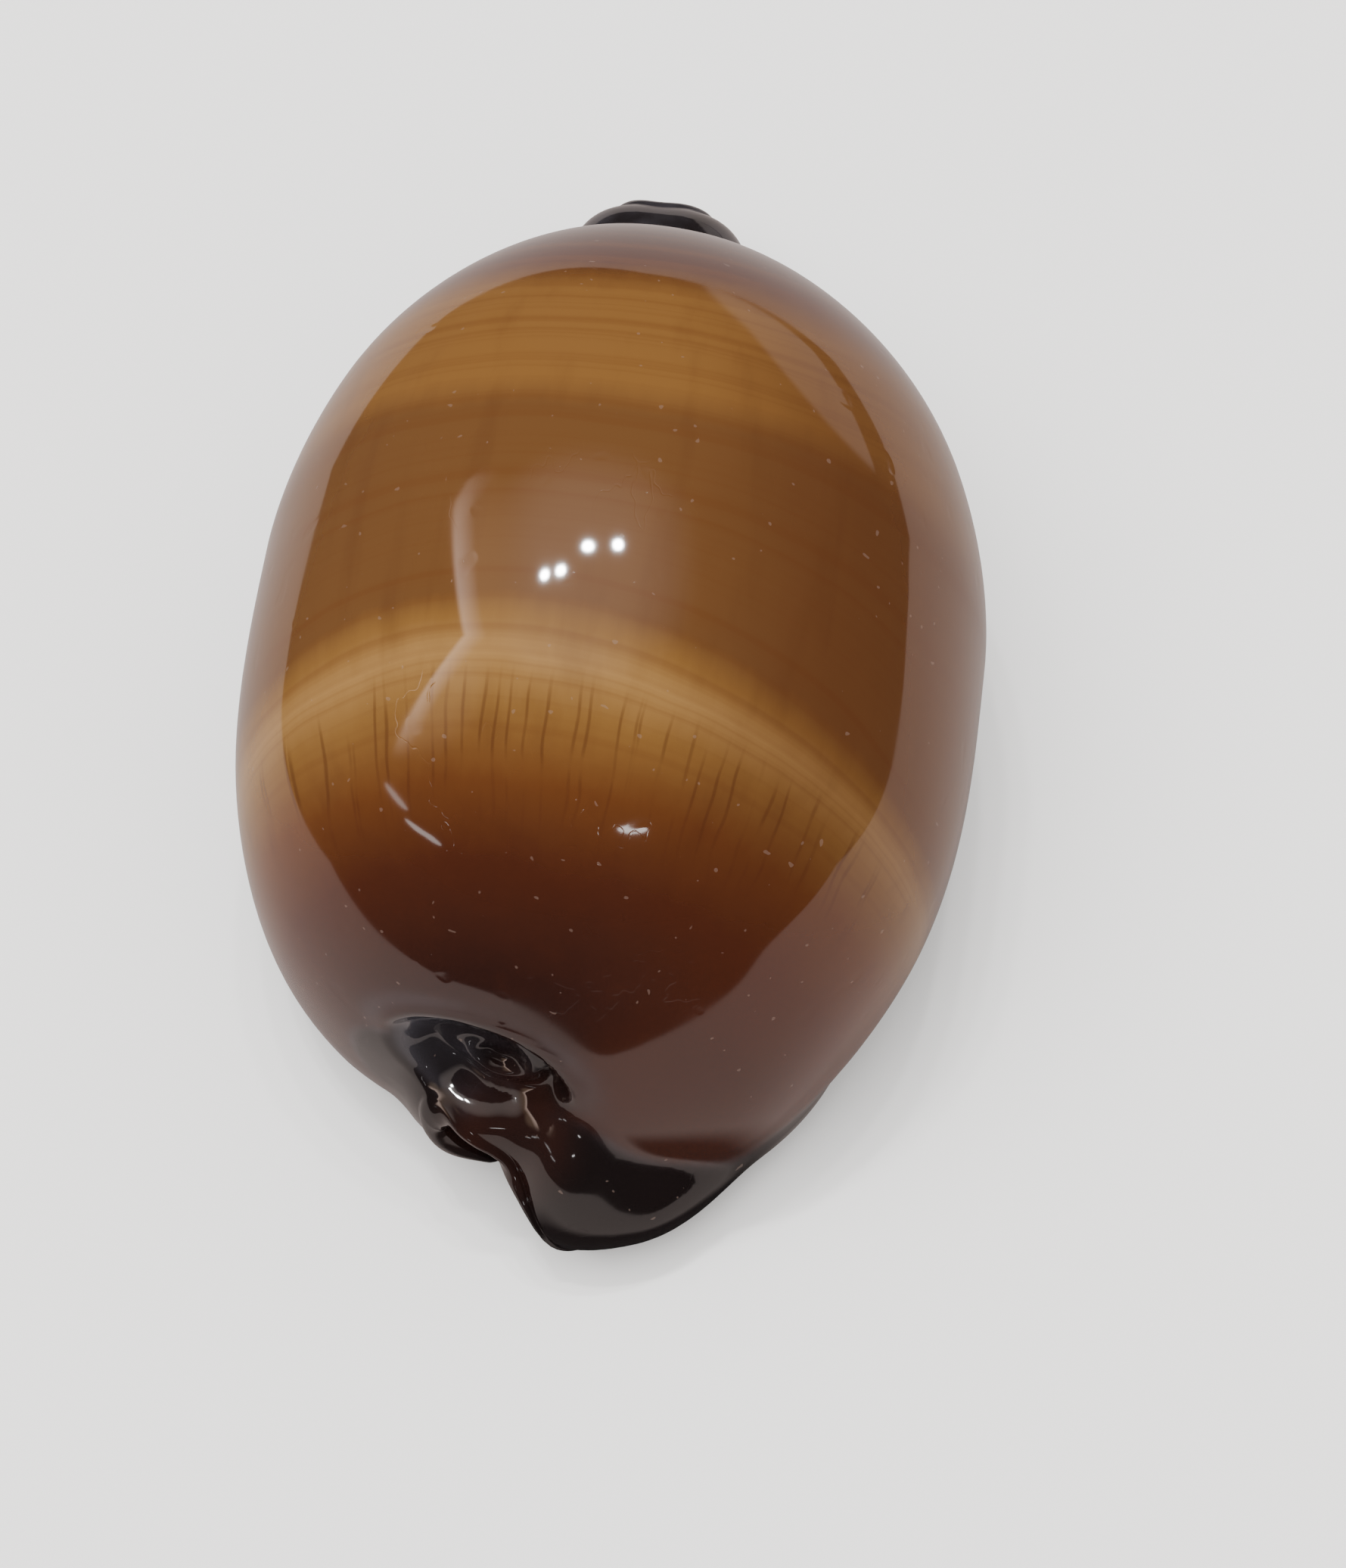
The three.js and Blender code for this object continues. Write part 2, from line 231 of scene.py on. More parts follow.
def spire_frame(p):
    """Places over the sunken spire, across and up in its half sizes and outwards, and the radius."""
    out = spire_faces / np.linalg.norm(spire_faces)
    across = np.cross((0, 0, 1), out)
    across /= np.linalg.norm(across)
    up = np.cross(out, across)
    d = p - spire_middle
    a, b = d @ across / SPIRE_ACROSS, d @ up / SPIRE_UP
    return a, b, d @ out, np.hypot(a, b), out, up


def whorl_crest(a, b, r):
    """1 along the crest of the whorls that wind outwards in the pit."""
    turn = np.arctan2(b, a) / (2 * np.pi)
    crest = (0.5 + 0.5 * np.cos(2 * np.pi * (1.3 * r - turn - 0.59))) ** 2
    return crest * ease(0.03, 0.25, r) * (1 - ease(0.75, 0.95, r))


def sink_spire(p):
    """Sinks the apex under its undercut rim, with the whorls winding in the hollow."""
    a, b, depth, r, out, up = spire_frame(p)
    low = ease(0.2, -0.7, b)
    wall = 1 - ease(0.6 - 0.3 * low, 1.02 + 0.05 * low, r)
    near = ease(-7, -4, depth)
    sunk = (SPIRE_DEPTH * (1 - 0.25 * r) * wall - WHORL_HEIGHT * whorl_crest(a, b, r) * wall) * near
    hang = RIM_HANG * np.exp(-((r - 0.95) / 0.14) ** 2) * ease(-0.2, 0.5, b) * near
    return p - sunk[..., None] * out - hang[..., None] * up


def inside_rows(outside, y):
    """Round each lip, up the toothed walls and about the hollow, down to a channel at both ends."""
    behind, front = ease(-16, -33, y), ease(18, 34, y)
    closed = np.maximum(behind, front)
    half, slit = slit_half(y), slit_x(y)
    wall_top = SLIT_WALL_TOP - 1.8 * front + 1.6 * behind
    tooth = TOOTH_DEPTH * (1 - closed) * np.cos(2 * np.pi * y / TOOTH_PITCH)
    lip = lip_roll(y)
    x, z = np.zeros_like(y), np.zeros_like(y)
    straight = LIP + WALL
    for i in range(straight + 1):
        bend = min(i / LIP, 1) * math.pi / 2
        rise = max((i - LIP) / WALL, 0)
        for side, j in ((-1, i), (1, COLUMNS - i)):
            edge = outside[:, 0 if side < 0 else COLUMNS]
            width = np.abs(edge[:, 0] - slit[:, j] - channel_lean(y[:, j], edge[:, 2])) - half[:, j]
            relief = tooth[:, j] * (math.sin(bend) - 0.75 * ease(0.3, 1, rise))
            out = half[:, j] + width * (1 - math.sin(bend)) - relief
            turned = edge[:, 2] + lip[:, j] * (1 - math.cos(bend))
            z[:, j] = turned + (wall_top[:, j] - edge[:, 2] - lip[:, j]) * rise
            x[:, j] = slit[:, j] + channel_lean(y[:, j], z[:, j]) + side * out
    middle = slice(straight + 1, COLUMNS - straight)
    y, half, slit, wall_top = y[:, middle], half[:, middle], slit[:, middle], wall_top[:, middle]
    roomy = (1 - ease(-18, -31, y)) * (1 - ease(17, 29, y))
    crest = margin_level(y) + (TOP - margin_level(y)) * fullness(y, profile)
    roof = wall_top + half + np.maximum(crest - DOME_WALL - wall_top - half, 0) * roomy
    left = half + np.maximum(LEFT * fullness(y, plan) - SIDE_WALL + slit - half, 0) * roomy
    right = half + np.maximum(RIGHT * fullness(y, plan) - SIDE_WALL - slit - half, 0) * roomy
    level = wall_top + (roof - wall_top) * 0.45 * roomy
    down = level - wall_top + 1e-6
    start, end = np.arctan2(-down, -half), np.arctan2(-down, half) - 2 * np.pi
    share = np.arange(1, COLUMNS - 2 * straight) / (COLUMNS - 2 * straight)
    angle = start + (end - start) * share
    wide = np.where(np.cos(angle) < 0, left, right)
    tall = np.where(np.sin(angle) > 0, roof - level, down)
    radius = 1 / np.hypot(np.cos(angle) / wide, np.sin(angle) / tall)
    z[:, middle] = np.maximum(level + radius * np.sin(angle), wall_top)
    x[:, middle] = slit + channel_lean(y, z[:, middle]) + radius * np.cos(angle)
    return x, z


def rim(outside, inside, way):
    """Rounds a mouth's rim until the outside and the inside meet."""
    middle = (outside + inside) / 2
    half = np.minimum(np.linalg.norm(outside - inside, axis=1, keepdims=True) / 2, 1.1)
    pairs = []
    for angle in np.linspace(0, math.pi / 2, ROWS_RIM + 1)[1:]:
        bulge = np.array((0, way * 0.9 * math.sin(angle), 0)) * half
        keep = math.cos(angle)
        pairs.append([middle + (p - middle) * keep + bulge for p in (outside, inside)])
    return pairs


# The outside, from the posterior mouth to the anterior one.
back_rows, back_stops = end_rows(FIRST_ROW, back_mouth, ROWS_BACK)
front_rows, front_stops = end_rows(LAST_ROW, front_mouth, ROWS_FRONT)
row_places = np.linspace(FIRST_ROW, LAST_ROW, ROWS_ACROSS)
across_rows = [cast(row_middle(y), row_directions(y)) for y in row_places]
plain = np.array(back_rows[::-1] + across_rows + front_rows)
outside = sink_spire(plain)

# The inside, point for point behind the outside, and stopping short of it in the mouths.
share = np.linspace(0, 1, COLUMNS + 1)
inside_y = outside[:, :1, 1] + (outside[:, -1:, 1] - outside[:, :1, 1]) * share
row_number = np.arange(len(outside))
back_turn = np.clip(1 - row_number / len(back_rows), 0, 1)[:, None] ** 2
front_turn = np.clip((row_number - len(outside) + 1) / len(front_rows) + 1, 0, 1)[:, None] ** 2
inside_y = inside_y + back_turn * (back_stops - inside_y[0]) + front_turn * (front_stops - inside_y[-1])
inside_x, inside_z = inside_rows(outside, inside_y)
inside = np.stack([inside_x, inside_y, inside_z], -1)
inside[:, 0], inside[:, -1] = outside[:, 0], outside[:, -1]

back_rim = rim(outside[0], inside[0], -1)
front_rim = rim(outside[-1], inside[-1], 1)
outside = np.array([p[0] for p in back_rim[::-1]] + list(outside) + [p[0] for p in front_rim])
inside = np.array([p[1] for p in back_rim[::-1]] + list(inside) + [p[1] for p in front_rim])

# One closed loop to a row, flat where the base rests, and the loops joined by four-sided faces.
loops = np.concatenate([outside, inside[:, -2:0:-1]], axis=1)
loops[..., 2] = np.maximum(loops[..., 2], 0)
rows, around = loops.shape[:2]
index = np.arange(rows * around).reshape(rows, around)
here, ahead = index[:-1], index[1:]
faces = np.stack([here, ahead, np.roll(ahead, -1, 1), np.roll(here, -1, 1)], -1).reshape(-1, 4)

points = loops.reshape(-1, 3)
low, high = points.min(0), points.max(0)
place = np.array(cad_middle) / MM - (low + high) / 2
place[2] = cad_low.z / MM - low[2]
mesh = bpy.data.meshes.new("shell_glazed")
mesh.from_pydata((points + place) * MM, [], faces.tolist())

# Facts about each point for the enamel. First the pit of the spire, the whorls in it and its rim.
x, y, z = points.T
spire_a, spire_b, spire_depth, spire_r, _, _ = spire_frame(points)
by_spire = ease(-7, -4, spire_depth)
in_spire = (1 - ease(0.86, 1.0, spire_r)) * by_spire
over_spire = np.exp(-((spire_r - 1.16) / 0.13) ** 2) * ease(-0.5, 0.3, spire_b) * by_spire
whorls = in_spire * (0.35 + 0.65 * whorl_crest(spire_a, spire_b, spire_r)) * ease(0.7, -0.3, spire_a)

# The dark callus covers the swellings, a little more on the wing, and the place beside the pit.
# It is thin and browner on the lobe, and a bluish sheen is painted on the beak at the anterior end.
spread = 0.1 + 1.3 * ease(12, 17, x) * ease(9, 6, z)
covered = 0.5 - 0.5 * np.tanh((callus(points) - body(points) - spread) / 0.25)
beside_pit = (points - np.array((-9.2, -31.4, 11.0))) / np.array((2.9, 3.0, 3.6))
covered = np.maximum(covered, ease(1.25, 0.85, np.linalg.norm(beside_pit, axis=1)))
on_beak = 0.8 * ease(31, 34, y) * ease(3, 7, z)
lobe = (points - np.array((-1.2, -34.2, 9.6))) / np.array((4.6, 4.6, 5.0))

# The bands sag towards the right margin.
sag = 0.0095 * np.clip((3 - y) / 18, 0, 1) * (x + 4) ** 2
sag = sag * (1 - 0.6 * ease(-15, -24, y))

# The walls of the hollow, and the gaps between the teeth on the lips and up the slit's walls.
off_middle = np.abs(loops[..., 1] + 2)
is_inside = np.zeros((rows, around))
is_inside[:, COLUMNS + 1:] = 1
is_inside *= (1 - ease(17, 23, off_middle)) * ease(3, 6, loops[..., 2])
gap = np.zeros((rows, around))
gap[:, COLUMNS + 1:] = 0.5 - 0.5 * np.cos(2 * np.pi * inside[:, -2:0:-1, 1] / TOOTH_PITCH)
from_lip = np.minimum(np.arange(around) - COLUMNS, around - np.arange(around))
gap *= ease(-1, 3, from_lip) * ease(LIP + WALL + 2, LIP + WALL - 4, from_lip)
gap *= 1 - ease(17, 24, off_middle)
facts = {
    "thin": ease(1.25, 0.6, np.linalg.norm(lobe, axis=1)),
    "band": y + sag,
    "meridian": x / np.maximum(fullness(y, plan), 0.35),
    "callus": np.maximum(covered, in_spire),
    # Painted sheen: bluish grey over the pit's rim, the callus's edge, the whorls in the pit and the
    # beak.
    "painted_sheen": np.maximum.reduce([0.4 * over_spire, 1.5 * covered * (1 - covered), whorls, on_beak]),
    "hollow": is_inside.reshape(-1),
    "gap": gap.reshape(-1),
    "level": z + 5 * ease(-14, -26, y),
}
for name, values in facts.items():
    attribute = mesh.attributes.new(name, "FLOAT", "POINT")
    attribute.data.foreach_set("value", values.astype(np.float32))

# The outside and the inside are merged where they meet in the mouths, and every face looks out.
editable = bmesh.new()
editable.from_mesh(mesh)
bmesh.ops.remove_doubles(editable, verts=editable.verts, dist=1e-7)
bmesh.ops.recalc_face_normals(editable, faces=editable.faces)
editable.to_mesh(mesh)
editable.free()
mesh.shade_smooth()
shell = bpy.data.objects.new("shell_glazed", mesh)
bpy.context.scene.collection.objects.link(shell)
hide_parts("shell")
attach(shell, "root")

# Shell enamel
# Layers of clear glaze over amber and brown bands, with blackish brown enamel laid over the
# ends, sides and base. Fine growth lines run along the shell; the slit's gaps are paler.
enamel = bpy.data.materials.new("shell_enamel")
enamel.use_nodes = True
nodes, links = enamel.node_tree.nodes, enamel.node_tree.links
shader = nodes["Principled BSDF"]


def linear(colour):
    """A colour seen as 0 to 255 on a screen, as the shader wants it."""
    parts = [c / 255 for c in colour]
    return [p / 12.92 if p <= 0.04045 else ((p + 0.055) / 1.055) ** 2.4 for p in parts] + [1]


def put(socket, value):
    """Feeds a socket from another node, or sets it."""
    if hasattr(value, "is_linked"):
        links.new(value, socket)
    else:
        socket.default_value = value


def attribute(name):
    """One of the facts about each point."""
    node = nodes.new("ShaderNodeAttribute")
    node.attribute_name = name
    return node.outputs["Fac"]


def maths(operation, a, b=0.0, c=0.0):
    """A sum on two or three amounts."""
    node = nodes.new("ShaderNodeMath")
    node.operation = operation
    for socket, value in zip(node.inputs, (a, b, c)):
        put(socket, value)
    return node.outputs[0]


def between(value, low, high):
    """0 at low, 1 at high, with soft ends."""
    node = nodes.new("ShaderNodeMapRange")
    node.interpolation_type = "SMOOTHSTEP"
    put(node.inputs["Value"], value)
    put(node.inputs["From Min"], low)
    put(node.inputs["From Max"], high)
    return node.outputs["Result"]


def noise(scale, stretch, detail, rough=0.5):
    """Smooth random amounts over the shell, drawn out along the axes with a small stretch."""
    place_node = nodes.new("ShaderNodeMapping")
    place_node.inputs["Scale"].default_value = stretch
    links.new(coordinates.outputs["Object"], place_node.inputs["Vector"])
    node = nodes.new("ShaderNodeTexNoise")
    links.new(place_node.outputs["Vector"], node.inputs["Vector"])
    node.inputs["Scale"].default_value = scale
    node.inputs["Detail"].default_value = detail
    node.inputs["Roughness"].default_value = rough
    return node.outputs["Fac"]


def mix(amount, a, b):
    """Colour a where the amount is 0, colour b where it is 1."""
    node = nodes.new("ShaderNodeMix")
    node.data_type = "RGBA"
    put(node.inputs[0], amount)
    put(node.inputs[6], a)
    put(node.inputs[7], b)
    return node.outputs[2]


# Where across the bands a point is, with the bands' edges drifting a little.
coordinates = nodes.new("ShaderNodeTexCoord")
EVEN = (1, 1, 1)
drift = maths("MULTIPLY_ADD", noise(90, EVEN, 2), 1.6, -0.8)
ragged = maths("MULTIPLY_ADD", noise(900, (1, 0.06, 1), 3), 2.4, -1.2)
band = maths("ADD", maths("ADD", attribute("band"), drift), maths("MULTIPLY", ragged, 0.35))

# The bands along the back, from the posterior end forwards: place in millimetres and colour.
soot = linear((19, 12, 12))
cocoa = linear((36, 17, 13))
rust = linear((57, 26, 14))
amber = linear((80, 45, 20))
honey = linear((107, 75, 37))
straw = linear((130, 97, 56))
tawny = linear((85, 56, 30))
ochre = linear((104, 71, 35))
bands = [
    (-36, soot), (-30, cocoa), (-25.5, rust), (-21.8, amber), (-18, honey), (-15.2, straw),
    (-13.2, honey), (-11.6, tawny), (1.2, tawny), (3.6, ochre), (11.5, ochre), (15, rust), (24, soot),
]
ramp = nodes.new("ShaderNodeValToRGB")
first, last = bands[0][0], bands[-1][0]
put(ramp.inputs["Fac"], maths("DIVIDE", maths("SUBTRACT", band, first), last - first))
stops = ramp.color_ramp.elements
stops.remove(stops[1])
stops[0].position = 0
stops[0].color = soot
for at, colour in bands[1:]:
    stops.new((at - first) / (last - first)).color = colour

# Growth lines: thin dark threads along the shell, broken here and there, behind the pale band.
cells = nodes.new("ShaderNodeTexVoronoi")
cells.voronoi_dimensions = "1D"
cells.feature = "F1"
cells.inputs["Scale"].default_value = 1.0
wander = maths("MULTIPLY_ADD", noise(160, (1, 0.5, 1), 2), 1.6, -0.8)
put(cells.inputs["W"], maths("ADD", maths("MULTIPLY", attribute("meridian"), 0.85), wander))
threads = between(cells.outputs["Distance"], 0.13, 0.03)
broken = between(noise(420, (1, 0.09, 1), 2), 0.36, 0.62)
behind_band = maths("MULTIPLY", between(band, -25.5, -20.5), between(band, -15.4, -18.0))
threads = maths("MULTIPLY", threads, broken)
thread_depth = maths("MULTIPLY", threads, maths("MULTIPLY", behind_band, 0.42))
streaked = mix(thread_depth, ramp.outputs["Color"], rust)

# Faint threads all over, fine stripes across the shell in front of them, and soft brown clouds.
faint = maths("MULTIPLY", between(noise(420, (1, 0.08, 1), 4), 0.5, 0.78), 0.18)
streaked = mix(faint, streaked, rust)
stripes = nodes.new("ShaderNodeTexNoise")
stripes.noise_dimensions = "1D"
stripes.inputs["Scale"].default_value = 0.9
stripes.inputs["Detail"].default_value = 4
put(stripes.inputs["W"], maths("ADD", attribute("band"), maths("MULTIPLY", drift, 0.5)))
striped = maths("MULTIPLY", between(stripes.outputs["Fac"], 0.44, 0.7), between(band, -22.0, -18.0))
streaked = mix(maths("MULTIPLY", striped, 0.3), streaked, amber)
shaded_side = maths("MULTIPLY", between(attribute("meridian"), 2.0, 17.0), 0.5)
streaked = mix(shaded_side, streaked, rust)
clouds = maths("MULTIPLY", between(noise(70, (1, 0.7, 1), 3), 0.45, 0.75), 0.14)
streaked = mix(clouds, streaked, rust)

# Dark enamel: callus, both ends, and the sides below the fullest level, with a painted bluish sheen over
# the callus's edge, the pit, its rim and the beak.
dark = linear((16, 11, 11))
warm_dark = linear((34, 17, 13))
sheen_grey = linear((72, 70, 76))
low_side = between(maths("ADD", attribute("level"), maths("MULTIPLY", drift, 1.2)), 14.0, 6.0)
darkness = maths("MAXIMUM", low_side, attribute("callus"))
darkness = maths("MAXIMUM", darkness, between(band, 24, 31))
brownish = between(noise(150, EVEN, 2), 0.35, 0.6)
warm_place = maths("MULTIPLY", attribute("thin"), maths("MULTIPLY_ADD", brownish, 0.5, 0.5))
coloured = mix(darkness, streaked, mix(warm_place, dark, warm_dark))
sheen_amount = maths("MULTIPLY", attribute("painted_sheen"), between(noise(160, EVEN, 3), 0.3, 0.65))
coloured = mix(maths("MULTIPLY", sheen_amount, 0.45), coloured, sheen_grey)

# Pale specks, the brown walls of the hollow, and the orange-brown gaps between the teeth.
speck = linear((130, 110, 100))
hollow_brown = linear((92, 66, 52))
gap_brown = linear((112, 74, 46))
speckle = between(noise(1900, EVEN, 0), 0.825, 0.84)
coloured = mix(maths("MULTIPLY", speckle, 0.22), coloured, speck)
coloured = mix(attribute("hollow"), coloured, hollow_brown)
coloured = mix(maths("MULTIPLY", attribute("gap"), 0.9), coloured, gap_brown)
put(shader.inputs["Base Color"], coloured)

# A polished glaze, slightly scuffed in places.
scuffs = between(noise(110, EVEN, 1), 0.45, 0.7)
put(shader.inputs["Roughness"], maths("MULTIPLY_ADD", scuffs, 0.05, 0.05))
shader.inputs["IOR"].default_value = 1.6

# The glaze is never quite even: long soft ripples, with dents, specks and hair scratches sunk in.
hairs = maths("ABSOLUTE", maths("SUBTRACT", noise(210, (1, 0.5, 1), 3, 0.6), 0.5))
scratched = maths("MULTIPLY", between(hairs, 0.006, 0.0), between(noise(60, EVEN, 1), 0.55, 0.68))
dents = maths("MULTIPLY", between(noise(420, EVEN, 1), 0.64, 0.76), 0.3)
ripple = maths("MULTIPLY", noise(120, (1, 0.6, 1), 1), 2.2)
sunk = maths("ADD", dents, maths("MULTIPLY", speckle, 0.5))
sunk = maths("ADD", sunk, maths("MULTIPLY", scratched, 0.25))
height = maths("SUBTRACT", ripple, sunk)
uneven = nodes.new("ShaderNodeBump")
uneven.inputs["Strength"].default_value = 0.11
uneven.inputs["Distance"].default_value = 0.0002
put(uneven.inputs["Height"], height)
put(shader.inputs["Normal"], uneven.outputs["Normal"])
mesh.materials.clear()
mesh.materials.append(enamel)

# Floor
# A large sheet of plain matt white paper, laid flat under the shell's base.
# The glaze doesn't mirror it: it mirrors the table in the next section.
TABLE_REACH = 1.5
table_corners = [
    (-TABLE_REACH, -TABLE_REACH), (TABLE_REACH, -TABLE_REACH),
    (TABLE_REACH, TABLE_REACH), (-TABLE_REACH, TABLE_REACH),
]
floor_mesh = bpy.data.meshes.new("floor")
floor_mesh.from_pydata([(x, y, cad_low.z) for x, y in table_corners], [], [(0, 1, 2, 3)])
floor = bpy.data.objects.new("floor", floor_mesh)
bpy.context.scene.collection.objects.link(floor)
floor.visible_glossy = False


def matt(name, colour, roughness):
    """A dull, even material."""
    material = bpy.data.materials.new(name)
    material.use_nodes = True
    surface = material.node_tree.nodes["Principled BSDF"]
    surface.inputs["Base Color"].default_value = colour
    surface.inputs["Roughness"].default_value = roughness
    return material


floor_mesh.materials.append(matt("paper", (0.92, 0.91, 0.9, 1), 0.9))

# Mirrored table
# What the glaze mirrors from below: a warm grey cloth spread under the shell, and the dark wood
# of the table that shows round the cloth's near edges. Only mirrored light sees them.
ABOVE_PAPER = 0.0002
cloth_colour = (0.3, 0.255, 0.24, 1)
shaded_cloth = (0.02, 0.018, 0.018, 1)
dark_wood = (0.012, 0.009, 0.008, 1)
cloth_corners = [
    (0.02, -0.09), (0.17, -0.09), (0.17, TABLE_REACH),
    (-0.084, TABLE_REACH), (-0.084, 0.0), (-0.072, -0.056),
]
table_mesh = bpy.data.meshes.new("mirrored_table")
table_mesh.from_pydata(
    [(x, y, cad_low.z + ABOVE_PAPER) for x, y in table_corners + cloth_corners],
    [],
    [(4, 5, 6, 7, 8, 9), (0, 1, 5, 4, 9), (1, 2, 6, 5), (0, 9, 8, 7, 3)],
)
table = bpy.data.objects.new("mirrored_table", table_mesh)
bpy.context.scene.collection.objects.link(table)
cloth_material = matt("warm_cloth", cloth_colour, 1.0)
table_mesh.materials.append(cloth_material)
table_mesh.materials.append(matt("dark_wood", dark_wood, 1.0))
for face in table_mesh.polygons[1:]:
    face.material_index = 1

# The shell's own shadow on the cloth, an oval close behind its posterior end.
cloth = cloth_material.node_tree
oval = cloth.nodes.new("ShaderNodeMapping")
oval.vector_type = "TEXTURE"
oval.inputs["Location"].default_value = (0.005, -0.039, 0)
oval.inputs["Rotation"].default_value = (0, 0, math.radians(35))
oval.inputs["Scale"].default_value = (0.016, 0.01, 1)
cloth.links.new(cloth.nodes.new("ShaderNodeTexCoord").outputs["Object"], oval.inputs["Vector"])
spot = cloth.nodes.new("ShaderNodeVectorMath")
spot.operation = "LENGTH"
cloth.links.new(oval.outputs["Vector"], spot.inputs[0])
fade = cloth.nodes.new("ShaderNodeMapRange")
fade.interpolation_type = "SMOOTHSTEP"
cloth.links.new(spot.outputs["Value"], fade.inputs["Value"])
fade.inputs["From Min"].default_value = 0.6
fade.inputs["From Max"].default_value = 1.0
shade = cloth.nodes.new("ShaderNodeMix")
shade.data_type = "RGBA"
cloth.links.new(fade.outputs["Result"], shade.inputs[0])
shade.inputs[6].default_value = shaded_cloth
shade.inputs[7].default_value = cloth_colour
cloth.links.new(shade.outputs[2], cloth.nodes["Principled BSDF"].inputs["Base Color"])
table.visible_camera = False
table.visible_diffuse = False
table.visible_shadow = False
table.visible_transmission = False

# Light
# Soft white light falls on the shell from all round. What its glaze mirrors is a dim room: a
# glowing ceiling with four lamps, daylight past a curtain on the left, and a far wall.
dim_ceiling = (0.05, 0.042, 0.04, 1)
bright_ceiling = (1.1, 0.95, 0.88, 1)
window_light = (1.1, 0.8, 0.55, 1)
curtain_edge = (5.5, 4.2, 3.6, 1)
wall_light = (0.62, 0.54, 0.51, 1)
world = bpy.data.worlds.new("studio")
bpy.context.scene.world = world
world.use_nodes = True
sky, sky_links = world.node_tree.nodes, world.node_tree.links
soft_light = sky["Background"]
soft_light.inputs["Color"].default_value = (1, 0.985, 0.97, 1)
soft_light.inputs["Strength"].default_value = 1.3
room = sky.new("ShaderNodeBackground")
room.inputs["Strength"].default_value = 1.0
direction = sky.new("ShaderNodeTexCoord").outputs["Generated"]


def room_glow(towards, inner, outer):
    """1 towards a direction, falling to 0 over the angles from inner to outer."""
    dot = sky.new("ShaderNodeVectorMath")
    dot.operation = "DOT_PRODUCT"
    sky_links.new(direction, dot.inputs[0])
    dot.inputs[1].default_value = Vector(towards).normalized()
    soften = sky.new("ShaderNodeMapRange")
    soften.interpolation_type = "SMOOTHSTEP"
    sky_links.new(dot.outputs["Value"], soften.inputs["Value"])
    soften.inputs["From Min"].default_value = math.cos(math.radians(outer))
    soften.inputs["From Max"].default_value = math.cos(math.radians(inner))
    return soften.outputs["Result"]


def beyond_edge(normal, start=-0.012, end=0.012):
    """1 on one side of a straight edge in the room, 0 on the other."""
    side = sky.new("ShaderNodeVectorMath")
    side.operation = "DOT_PRODUCT"
    sky_links.new(direction, side.inputs[0])
    side.inputs[1].default_value = normal
    soften = sky.new("ShaderNodeMapRange")
    sky_links.new(side.outputs["Value"], soften.inputs["Value"])
    soften.inputs["From Min"].default_value = start
    soften.inputs["From Max"].default_value = end
    return soften.outputs["Result"]


def both(operation, a, b):
    """Two amounts made into one."""
    node = sky.new("ShaderNodeMath")
    node.operation = operation
    sky_links.new(a, node.inputs[0])
    sky_links.new(b, node.inputs[1])
    return node.outputs[0]


def room_colour(amount, below, above):
    """The colour below where the amount is 0, the one above where it is 1."""
    node = sky.new("ShaderNodeMix")
    node.data_type = "RGBA"
    sky_links.new(amount, node.inputs[0])
    for socket, value in ((node.inputs[6], below), (node.inputs[7], above)):
        if hasattr(value, "is_linked"):
            sky_links.new(value, socket)
        else:
            socket.default_value = value
    return node.outputs[2]


mirrored = room_colour(room_glow((-0.12, 0.22, 1.0), 2, 32), dim_ceiling, bright_ceiling)

# Daylight from a window on the left, brightest along a curtain's three straight edges.
LOW, SIDE, HIGH = (0.588, -0.7, 0.406), (0.723, 0.412, 0.555), (0.336, -0.514, 0.789)
curtain = both("MULTIPLY", both("MAXIMUM", beyond_edge(SIDE), beyond_edge(LOW)), beyond_edge(HIGH))
past_edge = both("MAXIMUM", beyond_edge(SIDE, 0, 0.11), beyond_edge(LOW, 0, 0.11))
past_edge = both("MULTIPLY", past_edge, beyond_edge(HIGH, 0, 0.11))
along_edge = both("SUBTRACT", curtain, past_edge)
daylight = both("MAXIMUM", room_glow((-0.68, 0.12, 0.72), 0, 27), room_glow((-0.74, -0.24, 0.62), 0, 24))
mirrored = room_colour(both("MULTIPLY", curtain, daylight), mirrored, window_light)
mirrored = room_colour(both("MULTIPLY", along_edge, daylight), mirrored, curtain_edge)
mirrored = room_colour(room_glow((0.416, 0.893, -0.174), 21, 23), mirrored, wall_light)
sky_links.new(mirrored, room.inputs["Color"])
light_path = sky.new("ShaderNodeLightPath")
either = sky.new("ShaderNodeMixShader")
sky_links.new(light_path.outputs["Is Glossy Ray"], either.inputs[0])
sky_links.new(soft_light.outputs[0], either.inputs[1])
sky_links.new(room.outputs[0], either.inputs[2])
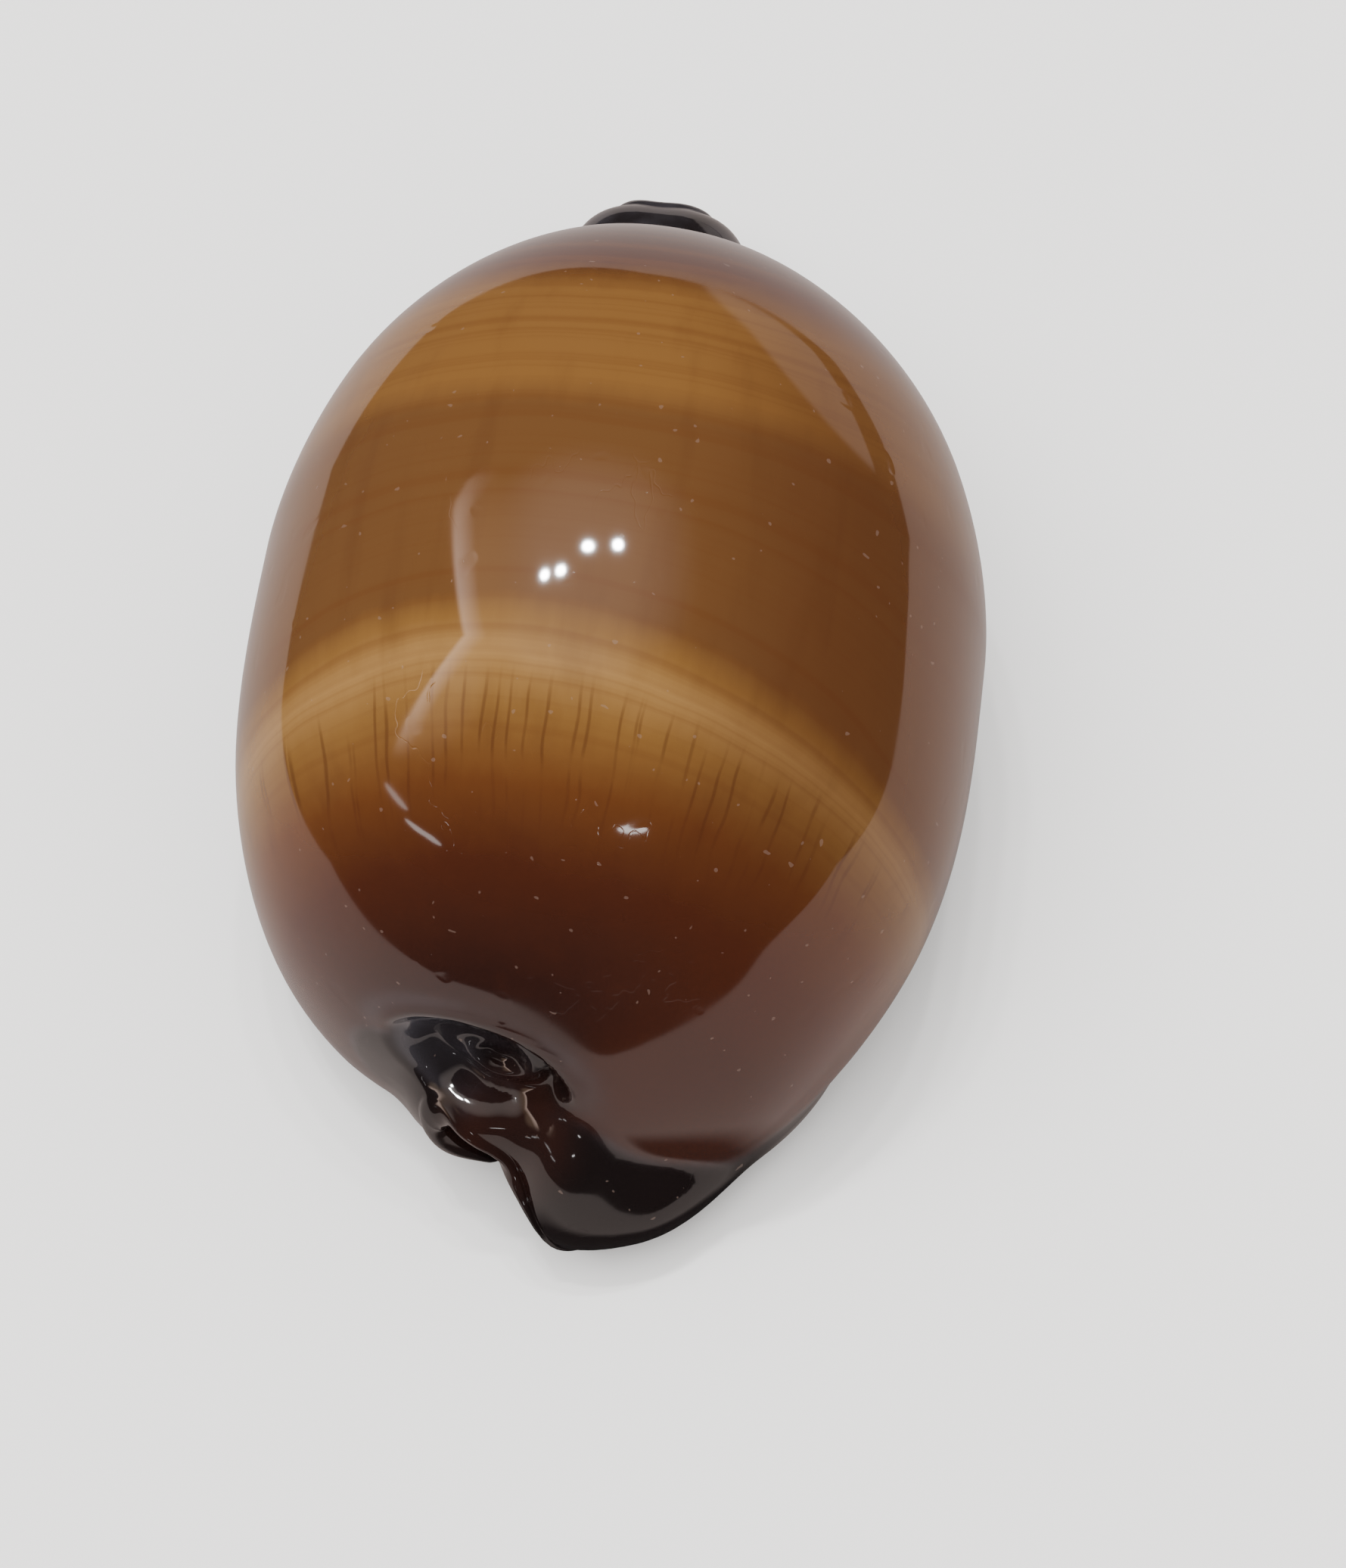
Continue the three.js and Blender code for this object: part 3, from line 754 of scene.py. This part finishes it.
sky_links.new(either.outputs[0], sky["World Output"].inputs["Surface"])


def lamp(name, at, size, power, shows=True, tall=None):
    """A flat oval lamp that faces the shell; its size across, and how tall it is if not round."""
    light = bpy.data.lights.new(name, "AREA")
    light.shape = "ELLIPSE"
    light.size = size
    light.size_y = tall or size
    light.energy = power
    holder = bpy.data.objects.new(name, light)
    bpy.context.scene.collection.objects.link(holder)
    holder.location = at
    holder.rotation_euler = (Vector(at) - cad_middle).to_track_quat("Z", "Y").to_euler()
    holder.visible_glossy = shows


CEILING = 2.2
lamp("overhead_panel", (-0.5, -0.2, 1.6), 1.6, 28, shows=False)
for number, (across, along) in enumerate(((-0.57, 0.41), (-0.4, 0.45), (-0.19, 0.69), (0.06, 0.74))):
    lamp(f"ceiling_lamp_{number}", (across, along, CEILING), 0.09, 7)

# Daylight through a small window behind the shell, and through two gaps low in the curtain.
lamp("window_behind", (0.45, -1.92, 0.98), 0.27, 0.8, tall=0.1)
lamp("curtain_gap_low", (-1.28, -1.72, 0.36), 0.5, 0.35, tall=0.06)
lamp("curtain_gap_high", (-1.6, -1.38, 0.46), 0.4, 0.25, tall=0.07)

# Camera
# The camera is held close behind the shell's posterior end, slightly to its right, and looks
# steeply down on the domed back. It is shifted so that the shell lies where it does in the picture.
image_width, image_height = 1779, 2072
elevation, azimuth = math.radians(62), math.radians(8)
distance = 0.230
looks_at = Vector((place + (0, 1, 14)) * MM)
appears_at = (809.5, 797)  # pixels from the upper left corner
camera = bpy.data.objects.new("camera", bpy.data.cameras.new("camera"))
bpy.context.scene.collection.objects.link(camera)
bpy.context.scene.camera = camera
back = Vector((
    math.sin(azimuth) * math.cos(elevation),
    -math.cos(azimuth) * math.cos(elevation),
    math.sin(elevation),
))
camera.location = looks_at + back * distance
camera.rotation_euler = back.to_track_quat("Z", "Y").to_euler()
camera.data.sensor_width = 36
camera.data.lens = 80.5
camera.data.clip_start = 0.01
camera.data.shift_x = (image_width / 2 - appears_at[0]) / image_height
camera.data.shift_y = (appears_at[1] - image_height / 2) / image_height
